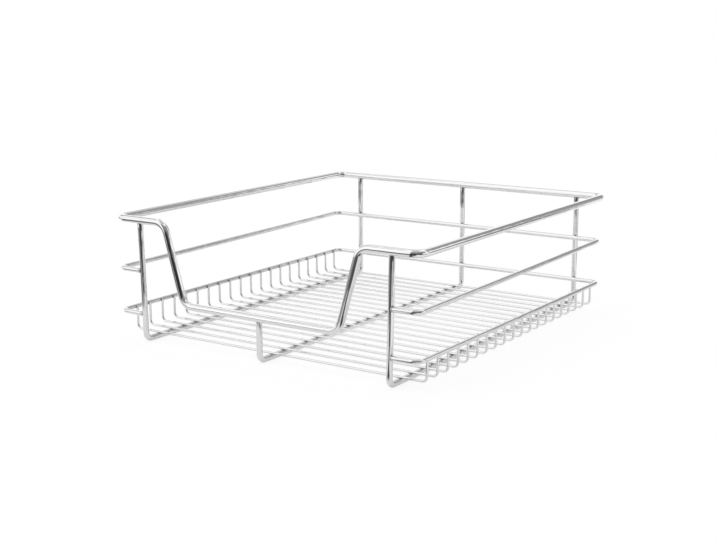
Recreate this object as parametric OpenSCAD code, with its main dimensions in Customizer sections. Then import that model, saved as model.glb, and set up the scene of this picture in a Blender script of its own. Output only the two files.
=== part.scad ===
// Pull-out cabinet basket: an open-topped basket of bent and welded round steel wire.
// Millimetres, +Z up. The front faces -Y, and its rim dips there so the contents can be reached.
// The origin is at the middle of the footprint, on the surface that the floor bearers stand on.
//
// Every sub-part is one length of wire, drawn by bent_wire() along its own corner points.
// Wires that touch sink into each other a little, as resistance-welded wires do.

/* [Overall size] */
// Width over the rim wire, side to side
basket_w = 432; // [330:1:560]
// Depth over the rim wire, front to back
basket_d = 480; // [420:1:560]
// Height from the underside of the bearers to the top of the rim
basket_h = 154; // [145:1:200]

/* [Wire gauges] */
// Diameter of the rim wire
rim_wire = 9; // [6:0.5:10]
// Diameter of the three bearers that run down the front, along the floor and up the back
bearer_wire = 7; // [5:0.5:8]
// Diameter of the middle rail
mid_wire = 6; // [4:0.5:7]
// Diameter of the lower rail
lower_wire = 5.5; // [4:0.5:7]
// Diameter of the cross wires of the floor
cross_wire = 3; // [2:0.2:4]
// How far two wires that cross sink into each other at the weld
weld_sink = 0.5; // [0.2:0.1:0.8]
// How far the end of a wire sinks into the side of the wire that it is butt-welded to
butt_sink = 1.5; // [0.5:0.1:2]

/* [Dipped front] */
// How far the front bar lies below the rim, centre to centre
dip_drop = 96; // [48:12:108]
// Width of the dip at rim height, between the corners of its centre line
dip_top_w = 276; // [220:2:300]

/* [Rails] */
// Height of the middle rail's centre above the bearers' centres
mid_rail_h = 86.5; // [70:0.5:100]
// How far the middle rail slopes down to the front, in degrees
mid_rail_slope = 0.5; // [0:0.1:1]
// Height of the lower rail's centre above the bearers' centres
lower_rail_h = 31.5; // [24:0.5:40]

/* [Bearers] */
// Distance between the left and right bearers, centre to centre
bearer_spread = 348; // [240:1:360]
// How far the uprights stand inside the rim's centre line at the front and back
upright_inset = 1.5; // [0:0.5:3]
// How far the outer front uprights lean out towards the sides, in degrees
upright_splay = 1.2965; // [0, 1.2965]

/* [Floor] */
// Number of cross wires
cross_count = 20; // [8:1:20]
// Distance from the rim's front centre line to the first cross wire
cross_start = 23; // [18:1:40]
// Distance between neighbouring cross wires
cross_pitch = 22.3; // [15:0.1:22.4]
// How far the ends of the cross wires reach above the lower rail's centre
cross_lap = 1.5; // [0.5:0.5:2.5]

/* [Bend radii, to the wire's centre line] */
// Corners of the rim
rim_bend = 12; // [10:1:30]
// Bends at the top of the dip
dip_top_bend = 16; // [12:4:28]
// Bends at the bottom of the dip
dip_bar_bend = 16; // [12:4:28]
// Corners of both rails
rail_bend = 10; // [7:1:25]
// Bends of the bearers
bearer_bend = 8; // [7:1:20]
// Bends of the cross wires
cross_bend = 6; // [3:0.5:12]

/* [Hidden] */
$fn = 48;

// Centre-line half sizes of the rim
rim_x = (basket_w - rim_wire) / 2;
rim_y = (basket_d - rim_wire) / 2;
rim_z = basket_h - rim_wire / 2;

// The bearers lie on the ground, and every height is counted from their centres
bearer_z = bearer_wire / 2;
bearer_x = [-bearer_spread / 2, 0, bearer_spread / 2];
upright_y = rim_y - upright_inset;

// The dip's sides lean in by 7 for every 24 they drop, a slope with a whole sine and cosine
dip_bar_z = rim_z - dip_drop;
dip_bar_w = dip_top_w - 2 * dip_drop * 7 / 24;

// The rails lie under the rim at the sides and the front. They pass inside the rear uprights,
// and end against the sides of the outer front uprights. These lean out, so the higher a rail is
// the further out it ends, to the nearest half millimetre.
function rail_back_y(wire) = upright_y - (bearer_wire + wire) / 2 + weld_sink;
function lean_at(height) = round(2 * height * sin(upright_splay)) / 2;
function rail_end_x(height) = (bearer_spread + bearer_wire) / 2 - butt_sink + lean_at(height);

// The floor's cross wires lie on the bearers, and their ends stand against the lower rail's inside
lower_z = bearer_z + lower_rail_h;
cross_x = rim_x - (lower_wire + cross_wire) / 2 + weld_sink;
cross_z = bearer_wire + cross_wire / 2 - weld_sink;

BEARERS = ["bearer_left", "bearer_centre", "bearer_right"];
CROSS_WIRES = [for (i = [1:cross_count]) str("cross_wire_", i < 10 ? "0" : "", i)];

function unit(v) = v / norm(v);
function turn_of(a, b, c) = acos(unit(b - a) * unit(c - b));
function trim_of(a, b, c, r) = r * tan(turn_of(a, b, c) / 2);

// A straight length of wire between two points
module straight(a, b, wire) {
    run = b - a;
    translate(a)
        rotate([0, acos(run.z / norm(run)), atan2(run.y, run.x)])
            cylinder(h = norm(run), d = wire);
}

// The bend at corner b on the way from a to c: a sector of a torus
module bend(a, b, c, r, wire) {
    along_in = unit(b - a);
    along_out = unit(c - b);
    axis = unit(cross(along_in, along_out));
    outward = cross(along_in, axis);
    centre = b - along_in * trim_of(a, b, c, r) - outward * r;
    multmatrix([for (k = [0:2]) [outward[k], along_in[k], axis[k], centre[k]]])
        rotate_extrude(angle = turn_of(a, b, c))
            translate([r, 0])
                circle(d = wire);
}

// A wire along straight runs, with a bend of radius radii[i] at corner i.
// An open wire has radius 0 at its two ends.
module bent_wire(corners, radii, wire, closed = false) {
    n = len(corners);
    function corner(i) = corners[(i + n) % n];
    function trim(i) = radii[i % n] == 0 ? 0 : trim_of(corner(i - 1), corner(i), corner(i + 1), radii[i % n]);
    for (i = [0:closed ? n - 1 : n - 2]) {
        along = unit(corner(i + 1) - corner(i));
        straight(corner(i) + along * trim(i), corner(i + 1) - along * trim(i + 1), wire);
    }
    for (i = [0:n - 1])
        if (radii[i] > 0)
            bend(corner(i - 1), corner(i), corner(i + 1), radii[i], wire);
}

// The rim: one closed loop that runs in from the front corners and dips to the front bar
module rim() {
    corners = [
        [-dip_bar_w / 2, -rim_y, dip_bar_z],
        [dip_bar_w / 2, -rim_y, dip_bar_z],
        [dip_top_w / 2, -rim_y, rim_z],
        [rim_x, -rim_y, rim_z],
        [rim_x, rim_y, rim_z],
        [-rim_x, rim_y, rim_z],
        [-rim_x, -rim_y, rim_z],
        [-dip_top_w / 2, -rim_y, rim_z],
    ];
    radii = [
        dip_bar_bend, dip_bar_bend, dip_top_bend,
        rim_bend, rim_bend, rim_bend, rim_bend, dip_top_bend,
    ];
    color("gainsboro") bent_wire(corners, radii, rim_wire, closed = true);
}

// A rail: it runs round the back and both sides and turns in to the outer front uprights
module rail(wire, height) {
    back_y = rail_back_y(wire);
    end_x = rail_end_x(height);
    corners = [
        [-end_x, -rim_y, 0], [-rim_x, -rim_y, 0], [-rim_x, back_y, 0],
        [rim_x, back_y, 0], [rim_x, -rim_y, 0], [end_x, -rim_y, 0],
    ];
    color("silver") bent_wire(corners, [0, rail_bend, rail_bend, rail_bend, rail_bend, 0], wire);
}

module mid_rail() {
    translate([0, 0, bearer_z + mid_rail_h]) rotate([mid_rail_slope, 0, 0]) rail(mid_wire, mid_rail_h);
}

module lower_rail() {
    translate([0, 0, lower_z]) rail(lower_wire, lower_rail_h);
}

// Half of a bearer's floor run and the upright at its end, standing top above the floor run
module bearer_end(y, top) {
    bent_wire([[0, 0, 0], [0, y, 0], [0, y, top]], [0, bearer_bend, 0], bearer_wire);
}

// A bearer: front upright, floor run and rear upright. The middle one stops under the dipped bar.
module bearer(index) {
    x = bearer_x[index];
    meets_dip = abs(x) < dip_bar_w / 2;
    front_top = (meets_dip ? dip_bar_z : rim_z) - rim_wire / 2 + butt_sink - bearer_z;
    rear_top = rim_z - rim_wire / 2 + butt_sink - bearer_z;
    color("lightgray") translate([x, 0, bearer_z]) {
        rotate([0, sign(x) * upright_splay, 0]) bearer_end(-upright_y, front_top);
        bearer_end(upright_y, rear_top);
    }
}

// A cross wire of the floor, with both ends bent up to the lower rail
module cross_wire(index) {
    y = -rim_y + cross_start + index * cross_pitch;
    end_z = lower_z + cross_lap;
    corners = [
        [-cross_x, y, end_z], [-cross_x, y, cross_z],
        [cross_x, y, cross_z], [cross_x, y, end_z],
    ];
    color("whitesmoke") bent_wire(corners, [0, cross_bend, cross_bend, 0], cross_wire);
}

rim();
mid_rail();
lower_rail();
for (i = [0:len(BEARERS) - 1])
    bearer(i);
for (i = [0:cross_count - 1])
    cross_wire(i);
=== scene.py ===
import math

import bpy
from mathutils import Matrix, Vector


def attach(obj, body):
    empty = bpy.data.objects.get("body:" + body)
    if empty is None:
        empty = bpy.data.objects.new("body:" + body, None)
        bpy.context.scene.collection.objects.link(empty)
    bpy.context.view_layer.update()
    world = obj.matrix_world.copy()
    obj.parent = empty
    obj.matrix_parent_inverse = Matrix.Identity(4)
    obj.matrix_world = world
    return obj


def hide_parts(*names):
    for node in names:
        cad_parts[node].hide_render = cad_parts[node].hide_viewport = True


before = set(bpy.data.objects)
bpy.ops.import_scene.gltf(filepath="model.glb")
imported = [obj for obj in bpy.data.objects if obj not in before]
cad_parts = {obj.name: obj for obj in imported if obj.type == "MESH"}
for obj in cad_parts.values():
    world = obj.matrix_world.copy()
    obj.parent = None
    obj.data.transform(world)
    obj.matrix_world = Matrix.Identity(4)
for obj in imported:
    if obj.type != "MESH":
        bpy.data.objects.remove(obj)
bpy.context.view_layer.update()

# A pull-out cabinet basket of bent and welded steel wire, plated bright.
# Every length of wire is swept along its own corner points, as the construction draws it,
# and the welds between the wires are small beads of squeezed-out metal.

MM = 0.001

# Overall size over the rim wire. It and every size down to the node trees are in millimetres.
BASKET_W = 432
BASKET_D = 480
BASKET_H = 154

# Wire gauges
RIM_GAUGE = 9
BEARER_GAUGE = 7
MID_GAUGE = 6
LOWER_GAUGE = 5.5
FLOOR_GAUGE = 3

# Dipped front: how far the bar lies below the rim, the width of the dip at the top, and how far its
# sides lean in for every millimetre that they drop
DIP_DROP = 96
DIP_TOP_W = 276
DIP_LEAN = 7 / 24

# Rails: the heights of their centres above the bearers' centres. The middle one slopes down to the front.
MID_RAIL_H = 86.5
MID_RAIL_SLOPE = math.radians(0.5)
LOWER_RAIL_H = 31.5

# Bearers: how far apart the outer two are, how far the uprights stand inside the rim's centre line,
# and how far the outer front ones lean out
BEARER_SPREAD = 348
UPRIGHT_INSET = 1.5
UPRIGHT_SPLAY = math.radians(1.2965)

# Floor: how many wires, from the rim's front centre line to the first, from one to the next, and how
# far their ends reach above the lower rail's centre
FLOOR_WIRES = 20
FLOOR_START = 23
FLOOR_PITCH = 22.3
FLOOR_LAP = 1.5

# Bend radii, to the wire's centre line
RIM_BEND = 12
DIP_TOP_BEND = 16
DIP_BAR_BEND = 16
RAIL_BEND = 10
BEARER_BEND = 8
FLOOR_BEND = 6

# How far crossing wires, and the ends of butt-welded ones, sink in at the weld
WELD_SINK = 0.5
BUTT_SINK = 1.5
# How far from a weld's middle the plating is dulled by it
WELD_REACH = 4.6
# How far a bead reaches from its middle along x, y and z
FLOOR_CROSSING_BEAD = (2.5, 1.9, 0.8)
FLOOR_END_BEAD = (0.8, 1.9, 2.1)
RAIL_CROSSING_BEAD = (2.9, 1.1, 2.8)
# A butt weld's bead is a flat collar: half its thickness, and how far it stands out round the wire
RAIL_COLLAR = 0.8
RAIL_COLLAR_PROUD = 0.25
UPRIGHT_COLLAR = 0.9
UPRIGHT_COLLAR_PROUD = 0.35
# How far a collar's middle lies inside the wire that the end is welded to
COLLAR_SINK = 0.2
# How far the bead at a floor wire's end lies below the lower rail's centre
FLOOR_END_DROP = 0.2

# Centre lines that follow from the sizes
RIM_X = (BASKET_W - RIM_GAUGE) / 2
RIM_Y = (BASKET_D - RIM_GAUGE) / 2
RIM_Z = BASKET_H - RIM_GAUGE / 2
BEARER_Z = BEARER_GAUGE / 2
BEARER_X = {"left": -BEARER_SPREAD / 2, "centre": 0, "right": BEARER_SPREAD / 2}
UPRIGHT_Y = RIM_Y - UPRIGHT_INSET
DIP_BAR_Z = RIM_Z - DIP_DROP
DIP_BAR_W = DIP_TOP_W - 2 * DIP_DROP * DIP_LEAN
MID_Z = BEARER_Z + MID_RAIL_H
LOWER_Z = BEARER_Z + LOWER_RAIL_H
FLOOR_X = RIM_X - (LOWER_GAUGE + FLOOR_GAUGE) / 2 + WELD_SINK
FLOOR_Z = BEARER_GAUGE + FLOOR_GAUGE / 2 - WELD_SINK
FLOOR_Y = [-RIM_Y + FLOOR_START + i * FLOOR_PITCH for i in range(FLOOR_WIRES)]

# Each rail's piece and node, gauge, height over the middle of the basket, and slope down to the front
RAILS = [
    ("middle_rail_wire", "mid_rail", MID_GAUGE, MID_Z, MID_RAIL_SLOPE),
    ("lower_rail_wire", "lower_rail", LOWER_GAUGE, LOWER_Z, 0.0),
]

# How many flat sides each kind of wire is drawn with, and how bright its plating is
SIDES = {"rim_wire": 40, "rail_wire": 32, "bearer_wire": 32, "floor_wire": 20}
PLATING_TONES = {"rim": 0.78, "rail": 0.77, "bearer": 0.77, "floor": 0.78}
# How much of that brightness is left on a weld
WELD_TONE = 0.3
# The plating's unevenness: long waves and fine peel, with their heights in millimetres
RIPPLE = {"Wave_Height": 0.7, "Waves_per_Metre": 36.0, "Peel_Height": 0.012, "Peel_per_Metre": 420.0}
# Its roughness: at its clearest, and what the clouds and the welds add
HAZE = {"Polish": 0.03, "Cloud": 0.04, "Clouds_per_Metre": 60.0, "Weld_Haze": 0.25}


# ---------------------------------------------------------------- node trees
# Lengths inside the trees are in metres

def new_tree(name, kind, inputs, outputs):
    """A node group. inputs are (name, socket type, default), with None where each use sets its own."""
    tree = bpy.data.node_groups.new(name, kind)
    for label, socket, default in inputs:
        entry = tree.interface.new_socket(label, in_out="INPUT", socket_type="NodeSocket" + socket)
        if default is not None:
            entry.default_value = default
    for label, socket in outputs:
        tree.interface.new_socket(label, in_out="OUTPUT", socket_type="NodeSocket" + socket)
    return tree


def feed(tree, target, value):
    """Gives a socket its value, or links it to the socket that has it."""
    if isinstance(value, bpy.types.NodeSocket):
        tree.links.new(value, target)
    else:
        target.default_value = value


def add(tree, kind, settings=None, **inputs):
    """Adds a node. inputs are sockets by name, with _ for a space: a value, or the socket linked to it."""
    node = tree.nodes.new(kind)
    for key, value in (settings or {}).items():
        setattr(node, key, value)
    for label, value in inputs.items():
        label = label.replace("_", " ")
        feed(tree, next(s for s in node.inputs if s.name == label and s.enabled), value)
    return node


def math_node(tree, operation, *values, kind="ShaderNodeMath"):
    """Adds a maths node and gives its result."""
    node = tree.nodes.new(kind)
    node.operation = operation
    for target, value in zip(node.inputs, values):
        feed(tree, target, value)
    return node.outputs["Value" if operation in ("DISTANCE", "LENGTH") else 0]


def vector_node(tree, operation, *values):
    return math_node(tree, operation, *values, kind="ShaderNodeVectorMath")


def out(node, label):
    """The enabled output of a node with that name."""
    return next(s for s in node.outputs if s.name == label and s.enabled)


def named(tree, label, data_type="FLOAT"):
    """The values that the geometry carries under that name."""
    node = add(tree, "GeometryNodeInputNamedAttribute", {"data_type": data_type}, Name=label)
    return out(node, "Attribute")


# ---------------------------------------------------------------- bent wire

def bent_wire_tree():
    """Sweeps a round wire along a chain of corners, each with its own bend radius."""
    tree = new_tree("bent wire", "GeometryNodeTree", [
        ("Corners", "Geometry", None),
        ("Gauge", "Float", None),
        ("Sides", "Int", None),
        ("Bend Steps", "Int", 12),
        ("Step", "Float", 0.005),
        ("Rounded End", "Float", 0.0004),
        ("Welds", "Object", None),
        ("Weld Reach", "Float", None),
        ("Finish", "Material", None),
    ], [("Wire", "Geometry")])
    given = add(tree, "NodeGroupInput").outputs
    chain = add(tree, "GeometryNodeMeshToCurve", Mesh=given["Corners"])
    bends = add(tree, "GeometryNodeFilletCurve", {"mode": "POLY"}, Curve=out(chain, "Curve"),
                Count=given["Bend Steps"], Radius=named(tree, "bend"))

    # The straights are divided into short steps, so that the shading of a bend stays in the bend
    here = out(add(tree, "GeometryNodeInputPosition"), "Position")
    following = add(tree, "GeometryNodeOffsetPointInCurve", Offset=1,
                    Point_Index=out(add(tree, "GeometryNodeInputIndex"), "Index"))
    there = add(tree, "GeometryNodeFieldAtIndex", {"data_type": "FLOAT_VECTOR", "domain": "POINT"},
                Index=out(following, "Point Index"), Value=here)
    run = vector_node(tree, "DISTANCE", here, out(there, "Value"))
    cuts = math_node(tree, "FLOOR", math_node(tree, "DIVIDE", run, given["Step"]))
    stepped = add(tree, "GeometryNodeSubdivideCurve", Curve=out(bends, "Curve"), Cuts=cuts)

    # A sheared end is slightly rounded by the plating, and a loop has no end
    along = out(add(tree, "GeometryNodeSplineParameter"), "Length")
    whole = out(add(tree, "GeometryNodeSplineLength"), "Length")
    from_end = math_node(tree, "MINIMUM", along, math_node(tree, "SUBTRACT", whole, along))
    eased = math_node(tree, "SUBTRACT", 1.0, math_node(tree, "DIVIDE", from_end, given["Rounded End"]))
    corner = math_node(tree, "POWER", math_node(tree, "MAXIMUM", eased, 0.0), 2.0)
    shrink = math_node(tree, "MULTIPLY", corner,
                       math_node(tree, "DIVIDE", given["Rounded End"], given["Gauge"]))
    is_loop = out(add(tree, "GeometryNodeInputSplineCyclic"), "Cyclic")
    scale = math_node(tree, "ADD", math_node(tree, "SUBTRACT", 1.0, shrink),
                      math_node(tree, "MULTIPLY", shrink, is_loop))

    radius = math_node(tree, "MULTIPLY", given["Gauge"], 0.5)
    circle = add(tree, "GeometryNodeCurvePrimitiveCircle", {"mode": "RADIUS"},
                 Resolution=given["Sides"], Radius=radius)
    swept = add(tree, "GeometryNodeCurveToMesh", Curve=out(stepped, "Curve"),
                Profile_Curve=out(circle, "Curve"), Scale=scale, Fill_Caps=True)

    # How near each point is to a weld, from 0 far away to 1 in it
    welds = add(tree, "GeometryNodeObjectInfo", {"transform_space": "ORIGINAL"}, Object=given["Welds"])
    nearest = add(tree, "GeometryNodeProximity", {"target_element": "POINTS"},
                  Geometry=out(welds, "Geometry"))
    heat = add(tree, "ShaderNodeMapRange", {"interpolation_type": "SMOOTHERSTEP"},
               Value=out(nearest, "Distance"), From_Min=0.0, From_Max=given["Weld Reach"],
               To_Min=1.0, To_Max=0.0)
    heated = add(tree, "GeometryNodeStoreNamedAttribute", {"data_type": "FLOAT", "domain": "POINT"},
                 Geometry=out(swept, "Mesh"), Name="weld", Value=out(heat, "Result"))
    smooth = add(tree, "GeometryNodeSetShadeSmooth", Geometry=out(heated, "Geometry"))
    real = add(tree, "GeometryNodeRealizeInstances", Geometry=out(smooth, "Geometry"))
    finished = add(tree, "GeometryNodeSetMaterial", Geometry=out(real, "Geometry"),
                   Material=given["Finish"])
    add(tree, "NodeGroupOutput", Wire=out(finished, "Geometry"))
    return tree


# ---------------------------------------------------------------- weld beads

def weld_bead_tree():
    """Sets a bead of squeezed-out metal on each weld point, as wide as the point says."""
    tree = new_tree("weld beads", "GeometryNodeTree", [
        ("Weld Points", "Geometry", None),
        ("Roundness", "Int", 2),
        ("Lump Height", "Float", 0.0003),
        ("Lumps per Metre", "Float", 500.0),
        ("Seed", "Float", 1.0),
        ("Finish", "Material", None),
    ], [("Beads", "Geometry")])
    given = add(tree, "NodeGroupInput").outputs
    ball = add(tree, "GeometryNodeMeshIcoSphere", Radius=1.0, Subdivisions=given["Roundness"])
    beads = add(tree, "GeometryNodeInstanceOnPoints", Points=given["Weld Points"],
                Instance=out(ball, "Mesh"), Scale=named(tree, "reach", "FLOAT_VECTOR"))
    real = add(tree, "GeometryNodeRealizeInstances", Geometry=out(beads, "Instances"))

    here = out(add(tree, "GeometryNodeInputPosition"), "Position")
    lumps = add(tree, "ShaderNodeTexNoise", {"noise_dimensions": "4D"}, Vector=here,
                W=given["Seed"], Scale=given["Lumps per Metre"], Detail=1.0)
    height = math_node(tree, "MULTIPLY", given["Lump Height"],
                       math_node(tree, "SUBTRACT", out(lumps, "Fac"), 0.5))
    outward = add(tree, "ShaderNodeVectorMath", {"operation": "SCALE"}, Scale=height,
                  Vector=out(add(tree, "GeometryNodeInputNormal"), "Normal"))
    lumpy = add(tree, "GeometryNodeSetPosition", Geometry=out(real, "Geometry"),
                Offset=out(outward, "Vector"))
    heated = add(tree, "GeometryNodeStoreNamedAttribute", {"data_type": "FLOAT", "domain": "POINT"},
                 Geometry=out(lumpy, "Geometry"), Name="weld", Value=1.0)
    smooth = add(tree, "GeometryNodeSetShadeSmooth", Geometry=out(heated, "Geometry"))
    finished = add(tree, "GeometryNodeSetMaterial", Geometry=out(smooth, "Geometry"),
                   Material=given["Finish"])
    add(tree, "NodeGroupOutput", Beads=out(finished, "Geometry"))
    return tree


# ---------------------------------------------------------------- finishes

def ripple_group():
    """The unevenness of drawn and plated wire: long waves of the wire and fine orange peel."""
    tree = new_tree("plating ripple", "ShaderNodeTree", [
        ("Wave Height", "Float", None),
        ("Waves per Metre", "Float", None),
        ("Peel Height", "Float", None),
        ("Peel per Metre", "Float", None),
    ], [("Height", "Float")])
    given = add(tree, "NodeGroupInput").outputs
    place = add(tree, "ShaderNodeTexCoord").outputs["Object"]
    wave = add(tree, "ShaderNodeTexNoise", Vector=place, Scale=given["Waves per Metre"], Detail=1.0)
    peel = add(tree, "ShaderNodeTexNoise", Vector=place, Scale=given["Peel per Metre"], Detail=2.0)
    height = math_node(tree, "ADD",
                       math_node(tree, "MULTIPLY", out(wave, "Fac"), given["Wave Height"]),
                       math_node(tree, "MULTIPLY", out(peel, "Fac"), given["Peel Height"]))
    add(tree, "NodeGroupOutput", Height=height)
    return tree


def haze_group():
    """Where the plating is dull: faint clouds all over, and a heat-hazed ring round each weld."""
    tree = new_tree("plating haze", "ShaderNodeTree", [
        ("Polish", "Float", None),
        ("Cloud", "Float", None),
        ("Clouds per Metre", "Float", None),
        ("Weld Haze", "Float", None),
        ("Bright Tone", "Color", None),
        ("Weld Tone", "Color", None),
    ], [("Roughness", "Float"), ("Tone", "Color")])
    # A cloud begins at the first value of the noise and is full at the second
    begins, full = 0.4, 0.75
    # A weld's ring has the first strength outside the clouds, and in full cloud the second is added
    ring, more_in_cloud = 0.6, 0.8
    given = add(tree, "NodeGroupInput").outputs
    place = add(tree, "ShaderNodeTexCoord").outputs["Object"]
    noise = add(tree, "ShaderNodeTexNoise", Vector=place, Scale=given["Clouds per Metre"], Detail=4.0)
    cloud = out(add(tree, "ShaderNodeMapRange", Value=out(noise, "Fac"), From_Min=begins, From_Max=full),
                "Result")
    weld = out(add(tree, "ShaderNodeAttribute", {"attribute_name": "weld"}), "Fac")
    patchy = math_node(tree, "MULTIPLY", weld,
                       math_node(tree, "ADD", ring, math_node(tree, "MULTIPLY", cloud, more_in_cloud)))
    roughness = math_node(tree, "ADD", given["Polish"],
                          math_node(tree, "ADD", math_node(tree, "MULTIPLY", cloud, given["Cloud"]),
                                    math_node(tree, "MULTIPLY", patchy, given["Weld Haze"])))
    tone = add(tree, "ShaderNodeMix", {"data_type": "RGBA", "clamp_factor": True},
               Factor=patchy, A=given["Bright Tone"], B=given["Weld Tone"])
    add(tree, "NodeGroupOutput", Roughness=roughness, Tone=out(tone, "Result"))
    return tree


def grey(tone):
    """A neutral colour of that tone."""
    return (tone, tone, tone, 1)


def plated_wire(name, bright):
    """Bright plating over drawn steel wire, of that brightness away from the welds."""
    material = bpy.data.materials.new(name)
    material.use_nodes = True
    tree = material.node_tree
    shader = tree.nodes["Principled BSDF"]
    shader.inputs["Metallic"].default_value = 1.0
    uneven = add(tree, "ShaderNodeGroup", {"node_tree": GROUPS["ripple"]}, **RIPPLE)
    dull = add(tree, "ShaderNodeGroup", {"node_tree": GROUPS["haze"]}, Bright_Tone=grey(bright),
               Weld_Tone=grey(bright * WELD_TONE), **HAZE)
    # The ripple's heights are in millimetres
    bump = add(tree, "ShaderNodeBump", Strength=1.0, Distance=MM, Height=out(uneven, "Height"))
    tree.links.new(out(bump, "Normal"), shader.inputs["Normal"])
    tree.links.new(out(dull, "Roughness"), shader.inputs["Roughness"])
    tree.links.new(out(dull, "Tone"), shader.inputs["Base Color"])
    return material


# ---------------------------------------------------------------- making the pieces

def in_scene(name, data):
    """A new object of the scene, with that mesh or camera."""
    item = bpy.data.objects.new(name, data)
    bpy.context.scene.collection.objects.link(item)
    return item


def points_object(name, places, edges=(), **values):
    """A mesh of bare points at places in millimetres, with a named list of values for each of them."""
    mesh = bpy.data.meshes.new(name)
    mesh.from_pydata([Vector(place) * MM for place in places], edges, [])
    for label, listed in values.items():
        is_vector = hasattr(listed[0], "__len__")
        attribute = mesh.attributes.new(label, "FLOAT_VECTOR" if is_vector else "FLOAT", "POINT")
        for item, value in zip(attribute.data, listed):
            setattr(item, "vector" if is_vector else "value", value)
    return in_scene(name, mesh)


def made(piece, tree, **inputs):
    """Runs a geometry tree on the piece and keeps the result as its plain mesh."""
    modifier = piece.modifiers.new(tree.name, "NODES")
    modifier.node_group = tree
    sockets = {s.name: s.identifier for s in tree.interface.items_tree if s.in_out == "INPUT"}
    for label, value in inputs.items():
        modifier[sockets[label.replace("_", " ")]] = value
    depsgraph = bpy.context.evaluated_depsgraph_get()
    mesh = bpy.data.meshes.new_from_object(piece.evaluated_get(depsgraph),
                                           preserve_all_data_layers=True, depsgraph=depsgraph)
    piece.modifiers.clear()
    piece.data = mesh


def wire(name, nodes, corners, bends, gauge, slot, closed=False):
    """One length of wire along its corners, standing for its CAD node. bends are the radii at the
    corners, with 0 at the ends of an open wire."""
    count = len(corners)
    edges = [(i, (i + 1) % count) for i in range(count if closed else count - 1)]
    piece = points_object(name, corners, edges, bend=[radius * MM for radius in bends])
    made(piece, TREES["wire"], Gauge=gauge * MM, Sides=SIDES[slot], Welds=WELD_POINTS,
         Weld_Reach=WELD_REACH * MM, Finish=FINISHES[slot])
    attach(piece, "root")
    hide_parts(*nodes)


def rim():
    """One closed loop, which runs in from the front corners and dips to the front bar."""
    half_bar, half_top = DIP_BAR_W / 2, DIP_TOP_W / 2
    corners = [
        (-half_bar, -RIM_Y, DIP_BAR_Z), (half_bar, -RIM_Y, DIP_BAR_Z),
        (half_top, -RIM_Y, RIM_Z), (RIM_X, -RIM_Y, RIM_Z),
        (RIM_X, RIM_Y, RIM_Z), (-RIM_X, RIM_Y, RIM_Z),
        (-RIM_X, -RIM_Y, RIM_Z), (-half_top, -RIM_Y, RIM_Z),
    ]
    bends = [DIP_BAR_BEND] * 2 + [DIP_TOP_BEND] + [RIM_BEND] * 4 + [DIP_TOP_BEND]
    wire("rim_wire", ["rim"], corners, bends, RIM_GAUGE, "rim_wire", closed=True)


def rail_corners(gauge, z, slope):
    """A rail's corners at height z over the middle of the basket, sloping down to the front.
    It ends in the sides of the outer front uprights. These lean out, so the higher a rail is the
    further out it ends, to the nearest half millimetre."""
    back_y = UPRIGHT_Y - (BEARER_GAUGE + gauge) / 2 + WELD_SINK
    lean = round(2 * (z - BEARER_Z) * math.sin(UPRIGHT_SPLAY)) / 2
    end_x = (BEARER_SPREAD + BEARER_GAUGE) / 2 - BUTT_SINK + lean
    flat = [(-end_x, -RIM_Y), (-RIM_X, -RIM_Y), (-RIM_X, back_y),
            (RIM_X, back_y), (RIM_X, -RIM_Y), (end_x, -RIM_Y)]
    tilt = Matrix.Rotation(slope, 3, "X")
    return [tilt @ Vector((x, y, 0)) + Vector((0, 0, z)) for x, y in flat]


def rails():
    """Each runs round the back and both sides, and in to the outer front uprights."""
    bends = [0] + [RAIL_BEND] * 4 + [0]
    for name, node, gauge, z, slope in RAILS:
        wire(name, [node], rail_corners(gauge, z, slope), bends, gauge, "rail_wire")


def front_upright(x, height):
    """A point on a front upright's centre line, that high over the floor run. The outer ones splay."""
    lean = math.copysign(UPRIGHT_SPLAY, x) if x else 0.0
    return (x + height * math.sin(lean), -UPRIGHT_Y, BEARER_Z + height * math.cos(lean))


def upright_tops(side, sink):
    """How high a bearer's front and rear uprights reach, when they end that far inside the rim wire.
    The middle bearer's front upright ends in the dipped bar."""
    over_front = DIP_BAR_Z if side == "centre" else RIM_Z
    return [over - RIM_GAUGE / 2 + sink for over in (over_front, RIM_Z)]


def bearers():
    """Each is a front upright, a run along the floor and a rear upright."""
    for side, x in BEARER_X.items():
        front_z, rear_z = upright_tops(side, BUTT_SINK)
        corners = [front_upright(x, front_z - BEARER_Z), (x, -UPRIGHT_Y, BEARER_Z),
                   (x, UPRIGHT_Y, BEARER_Z), (x, UPRIGHT_Y, rear_z)]
        wire("bearer_wire_" + side, ["bearer_" + side], corners, [0, BEARER_BEND, BEARER_BEND, 0],
             BEARER_GAUGE, "bearer_wire")


def floor_wires():
    """They lie across the bearers, with both ends bent up against the inside of the lower rail."""
    end_z = LOWER_Z + FLOOR_LAP
    for i, y in enumerate(FLOOR_Y):
        corners = [(-FLOOR_X, y, end_z), (-FLOOR_X, y, FLOOR_Z), (FLOOR_X, y, FLOOR_Z), (FLOOR_X, y, end_z)]
        wire(f"floor_wire_{i + 1:02d}", [f"cross_wire_{i + 1:02d}"], corners,
             [0, FLOOR_BEND, FLOOR_BEND, 0], FLOOR_GAUGE, "floor_wire")


def floor_welds():
    """The places and reaches of the beads where the floor wires cross the bearers, and where their
    ends stand against the lower rail."""
    crossing_z = BEARER_GAUGE - WELD_SINK / 2
    end_x = RIM_X - LOWER_GAUGE / 2 + WELD_SINK / 2
    beads = []
    for y in FLOOR_Y:
        for x in BEARER_X.values():
            beads.append(((x, y, crossing_z), FLOOR_CROSSING_BEAD))
        for x in (-end_x, end_x):
            beads.append(((x, y, LOWER_Z - FLOOR_END_DROP), FLOOR_END_BEAD))
    return beads


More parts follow.
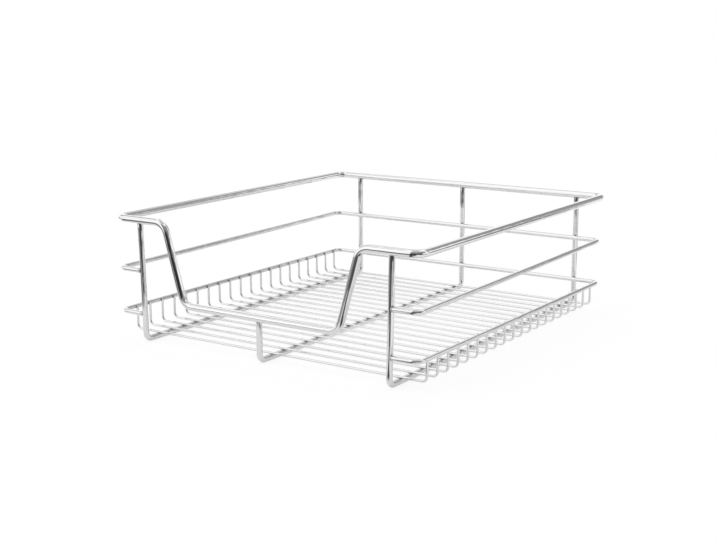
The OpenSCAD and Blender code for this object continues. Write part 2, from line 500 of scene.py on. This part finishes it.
def frame_welds():
    """The places and reaches of the beads where the rails and the rim meet the uprights."""
    beads = []
    crossing_y = UPRIGHT_Y - BEARER_GAUGE / 2 + WELD_SINK / 2
    for _, _, gauge, z, slope in RAILS:
        for x in BEARER_X.values():
            beads.append(((x, crossing_y, z + crossing_y * math.sin(slope)), RAIL_CROSSING_BEAD))
        end_z = z - RIM_Y * math.sin(slope)
        across = gauge / 2 + RAIL_COLLAR_PROUD
        for x in (BEARER_X["left"], BEARER_X["right"]):
            upright_x = front_upright(x, end_z - BEARER_Z)[0]
            collar_x = upright_x + math.copysign(BEARER_GAUGE / 2 - COLLAR_SINK, x)
            beads.append(((collar_x, -RIM_Y, end_z), (RAIL_COLLAR, across, across)))
    across = BEARER_GAUGE / 2 + UPRIGHT_COLLAR_PROUD
    for side, x in BEARER_X.items():
        front_z, rear_z = upright_tops(side, COLLAR_SINK)
        for place in (front_upright(x, front_z - BEARER_Z), (x, UPRIGHT_Y, rear_z)):
            beads.append((place, (across, across, UPRIGHT_COLLAR)))
    return beads


def weld_beads(name, beads, slot):
    """The beads of a set of welds, as one piece."""
    places, reaches = zip(*beads)
    piece = points_object(name, places, reach=[Vector(reach) * MM for reach in reaches])
    made(piece, TREES["beads"], Finish=FINISHES[slot])
    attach(piece, "root")


# ---------------------------------------------------------------- studio

# The camera's place in metres, and its turns in radians from looking level towards the back
CAMERA_PLACE = Vector((0.8522, -1.3042, 0.3965))
CAMERA_YAW = 0.5907
CAMERA_PITCH = 0.2080
CAMERA_ROLL = -0.0021
# Its focal length in pixels of a picture of that width, and the width of its sensor in millimetres
FOCAL_PIXELS = 1245.7
PICTURE_WIDTH = 716
SENSOR_WIDTH = 36

# The half width of a panel that goes all round, and the top edge of one that goes on overhead
ALL_ROUND = 181
OVERHEAD = 95
# The near end of a place that covers the table's middle, and the far end of one that goes out of sight
MIDDLE = -0.1
FAR = 9

# The white room round the table: middle and half width, low and high edge, softness (degrees), tone
ROOM_TONE = 1.13
ROOM_PANELS = [
    (0, ALL_ROUND, 49, OVERHEAD, 5, 1.2),   # ceiling
    (0, ALL_ROUND, 71, OVERHEAD, 4, 0.45),  # dark gap in the middle of the ceiling
    (-140, 6, -12, 60, 4, 1.35),            # tall strip light, front left
    (-40, 6, 14, 36, 3, 1.35),              # small light, back left
    (-78, 9, 22, 58, 3, 0.2),               # dark gap on the left
    (-125, 8, 40, 53, 3, 0.8),              # lamp head, front left
    (19, 27, 33, 48, 3, 0.45),              # grey board at the back, upper half
    (19, 27, 7, 35, 3, 0.36),               # its lower half
    (31, 4, 4, 26, 2, 1.2),                 # gap beside the board
    (-32, 7, 16, 44, 3, 0.35),              # edge of the board, back left
    (33, 18, -10, 4, 2, 0.1),               # end of the table, back right
    (66, 22, 8, 16, 2, 1.3),                # long strip light on the right
    (128, 62, 16, 60, 2, 0.31),             # dim room behind the camera
    (146, 46, -12, 17, 4, 0.04),            # its dark lower part
]

# How far the ground reaches in metres from the basket's middle, and the table top's own tone
GROUND_REACH = 3.0
TABLE_TONE = 0.95
# Darker places on the table top and past its ends, the first two a painted shade of the basket: middle and
# half width (degrees), near and far end (metres from the basket's middle), softness of the sides (degrees),
# tone. The softness of their ends is TABLE_EDGE, in metres.
TABLE_EDGE = 0.05
TABLE_PANELS = [
    (0, ALL_ROUND, MIDDLE, 0.41, 5, 0.84),  # painted shade of the basket
    (0, ALL_ROUND, MIDDLE, 0.13, 5, 0.96),  # lighter middle of the painted shade
    (171, 29, 0.43, FAR, 6, 0.11),          # front
    (171, 29, 0.8, FAR, 6, 0.06),           # front, further off
    (-140, 16, 0.46, 1.3, 6, 0.2),          # front left
    (-82, 31, 0.87, FAR, 4, 0.15),          # left
    (41, 9, 0.58, 2.3, 3, 0.25),            # back right
    (105, 27, 0.63, FAR, 5, 0.4),           # right
    (124, 22, 0.9, FAR, 5, 0.06),           # far right
]
# Strips of it in front of the basket: middle and half width across, front and back end and softness
# (all in metres), tone
TABLE_STRIPS = [
    (-0.02, 0.14, -0.54, -0.44, 0.02, 0.32),    # lighter edge of the shade
    (0.08, 0.04, -0.5, -0.4, 0.02, 0.75),       # light patch beside the dark strip
    (0.175, 0.035, -0.56, -0.37, 0.02, 0.05),   # dark strip running forward to the right front upright
    (0.17, 0.032, -0.38, -0.265, 0.015, 0.05),  # its narrow near end, at the upright's foot
]
# The shares of the table's colour that are lit and that glow: as the wire shows it, and as the camera
# sees it
SHOWN_TABLE = (0.95, 0.33)
SEEN_TABLE = (0.24, 0.82)


def camera():
    """Looks at the basket from its front right and a little from above."""
    lens = bpy.data.cameras.new("camera")
    lens.sensor_width = SENSOR_WIDTH
    lens.lens = SENSOR_WIDTH * FOCAL_PIXELS / PICTURE_WIDTH
    eye = in_scene("camera", lens)
    turn = (Matrix.Rotation(CAMERA_YAW, 4, "Z") @ Matrix.Rotation(math.pi / 2 - CAMERA_PITCH, 4, "X")
            @ Matrix.Rotation(CAMERA_ROLL, 4, "Z"))
    eye.matrix_world = Matrix.Translation(CAMERA_PLACE) @ turn
    bpy.context.scene.camera = eye


def panel_group():
    """Lays one panel's tone over what is below it, in a window of Side and Rise. Side goes round at
    180 degrees, a number that a place in metres never comes near."""
    tree = new_tree("studio panel", "ShaderNodeTree", [
        ("Below", "Float", None),
        ("Side", "Float", None),
        ("Rise", "Float", None),
        ("Middle", "Float", None),
        ("Half Width", "Float", None),
        ("Low", "Float", None),
        ("High", "Float", None),
        ("Side Edge", "Float", None),
        ("Rise Edge", "Float", None),
        ("Tone", "Float", None),
    ], [("Result", "Float")])
    given = add(tree, "NodeGroupInput").outputs

    def eased(value, edge, softness):
        """0 below the edge and 1 above it, over twice the softness."""
        return out(add(tree, "ShaderNodeMapRange", {"interpolation_type": "SMOOTHSTEP"}, Value=value,
                       From_Min=math_node(tree, "SUBTRACT", edge, softness),
                       From_Max=math_node(tree, "ADD", edge, softness)), "Result")

    away = math_node(tree, "SUBTRACT", given["Side"], given["Middle"])
    away = math_node(tree, "ABSOLUTE", math_node(tree, "WRAP", away, 180.0, -180.0))
    beside = eased(away, given["Half Width"], given["Side Edge"])
    above_low = eased(given["Rise"], given["Low"], given["Rise Edge"])
    above_high = eased(given["Rise"], given["High"], given["Rise Edge"])
    mask = math_node(tree, "MULTIPLY", math_node(tree, "SUBTRACT", 1.0, beside),
                     math_node(tree, "SUBTRACT", above_low, above_high))
    laid = add(tree, "ShaderNodeMix", {"data_type": "FLOAT"}, Factor=mask, A=given["Below"], B=given["Tone"])
    add(tree, "NodeGroupOutput", Result=out(laid, "Result"))
    return tree


def with_panels(tree, base, side, rise, panels, rise_edge=None):
    """The tone of a surround of that base tone with the panels laid on it one after another.
    Without a rise_edge, a panel's low and high edges are as soft as its sides."""
    tone = base
    for middle, half_width, low, high, edge, level in panels:
        laid = add(tree, "ShaderNodeGroup", {"node_tree": GROUPS["panel"]}, Below=tone, Side=side, Rise=rise,
                   Middle=middle, Half_Width=half_width, Low=low, High=high, Side_Edge=edge,
                   Rise_Edge=rise_edge or edge, Tone=level)
        tone = out(laid, "Result")
    return tone


def compass(tree, x, y):
    """The side on which a place lies, in degrees: 0 at the back, 90 at the right."""
    return math_node(tree, "DEGREES", math_node(tree, "ARCTAN2", x, y))


def paper(tree, colour, lit, glow):
    """A matt surface with one share of its colour for the light on it and another for its own glow."""
    share = add(tree, "ShaderNodeMix", {"data_type": "RGBA"}, Factor=lit, A=grey(0), B=colour)
    matt = add(tree, "ShaderNodeBsdfDiffuse", Color=out(share, "Result"))
    glowing = add(tree, "ShaderNodeEmission", Color=colour, Strength=glow)
    both = add(tree, "ShaderNodeAddShader")
    tree.links.new(matt.outputs[0], both.inputs[0])
    tree.links.new(glowing.outputs[0], both.inputs[1])
    return both.outputs[0]


def shown_or_seen(tree, shown, seen):
    """One shader for what lights the wire and shows in it, and another for what the camera sees itself."""
    mixed = add(tree, "ShaderNodeMixShader", Fac=add(tree, "ShaderNodeLightPath").outputs["Is Camera Ray"])
    tree.links.new(shown, mixed.inputs[1])
    tree.links.new(seen, mixed.inputs[2])
    return mixed.outputs[0]


def white_table():
    """The table top, with a painted shade round the basket, darker in places and past its ends. The camera
    itself sees it as plain white.
    """
    material = bpy.data.materials.new("white_table")
    material.use_nodes = True
    tree = material.node_tree
    tree.nodes.remove(tree.nodes["Principled BSDF"])
    place = add(tree, "ShaderNodeTexCoord").outputs["Object"]
    distance = vector_node(tree, "LENGTH", place)
    x, y, _ = add(tree, "ShaderNodeSeparateXYZ", Vector=place).outputs
    tone = with_panels(tree, TABLE_TONE, compass(tree, x, y), distance, TABLE_PANELS, TABLE_EDGE)
    tone = with_panels(tree, tone, x, y, TABLE_STRIPS)
    surface = shown_or_seen(tree, paper(tree, tone, *SHOWN_TABLE), paper(tree, grey(1), *SEEN_TABLE))
    tree.links.new(surface, tree.nodes["Material Output"].inputs["Surface"])
    return material


def ground():
    """The table top that the basket stands on, and what lies past its ends."""
    corners = [(x * GROUND_REACH, y * GROUND_REACH, 0) for x, y in ((-1, -1), (1, -1), (1, 1), (-1, 1))]
    mesh = bpy.data.meshes.new("ground")
    mesh.from_pydata(corners, [], [(0, 1, 2, 3)])
    mesh.materials.append(white_table())
    in_scene("ground", mesh)


def studio():
    """The light round the table, which the camera itself sees as plain white."""
    world = bpy.data.worlds.new("studio")
    world.use_nodes = True
    bpy.context.scene.world = world
    tree = world.node_tree
    tree.nodes.clear()
    towards = add(tree, "ShaderNodeTexCoord").outputs["Generated"]
    x, y, z = add(tree, "ShaderNodeSeparateXYZ", Vector=towards).outputs
    rise = math_node(tree, "DEGREES", math_node(tree, "ARCSINE", z))
    tone = with_panels(tree, ROOM_TONE, compass(tree, x, y), rise, ROOM_PANELS)
    light = add(tree, "ShaderNodeBackground", Color=tone, Strength=1.0)
    white = add(tree, "ShaderNodeBackground", Color=grey(1), Strength=1.0)
    result = add(tree, "ShaderNodeOutputWorld")
    tree.links.new(shown_or_seen(tree, light.outputs[0], white.outputs[0]), result.inputs["Surface"])


# ---------------------------------------------------------------- the basket in its studio


TREES = {"wire": bent_wire_tree(), "beads": weld_bead_tree()}
GROUPS = {"ripple": ripple_group(), "haze": haze_group(), "panel": panel_group()}
FINISHES = {part + "_wire": plated_wire(part + "_chrome", tone) for part, tone in PLATING_TONES.items()}

floor_beads = floor_welds()
frame_beads = frame_welds()
WELD_POINTS = points_object("weld_points", [place for place, reach in floor_beads + frame_beads])
rim()
rails()
bearers()
floor_wires()
weld_beads("floor_weld_beads", floor_beads, "floor_wire")
weld_beads("frame_weld_beads", frame_beads, "bearer_wire")
bpy.data.objects.remove(WELD_POINTS)

camera()
ground()
studio()
bpy.context.scene.view_settings.view_transform = "Standard"
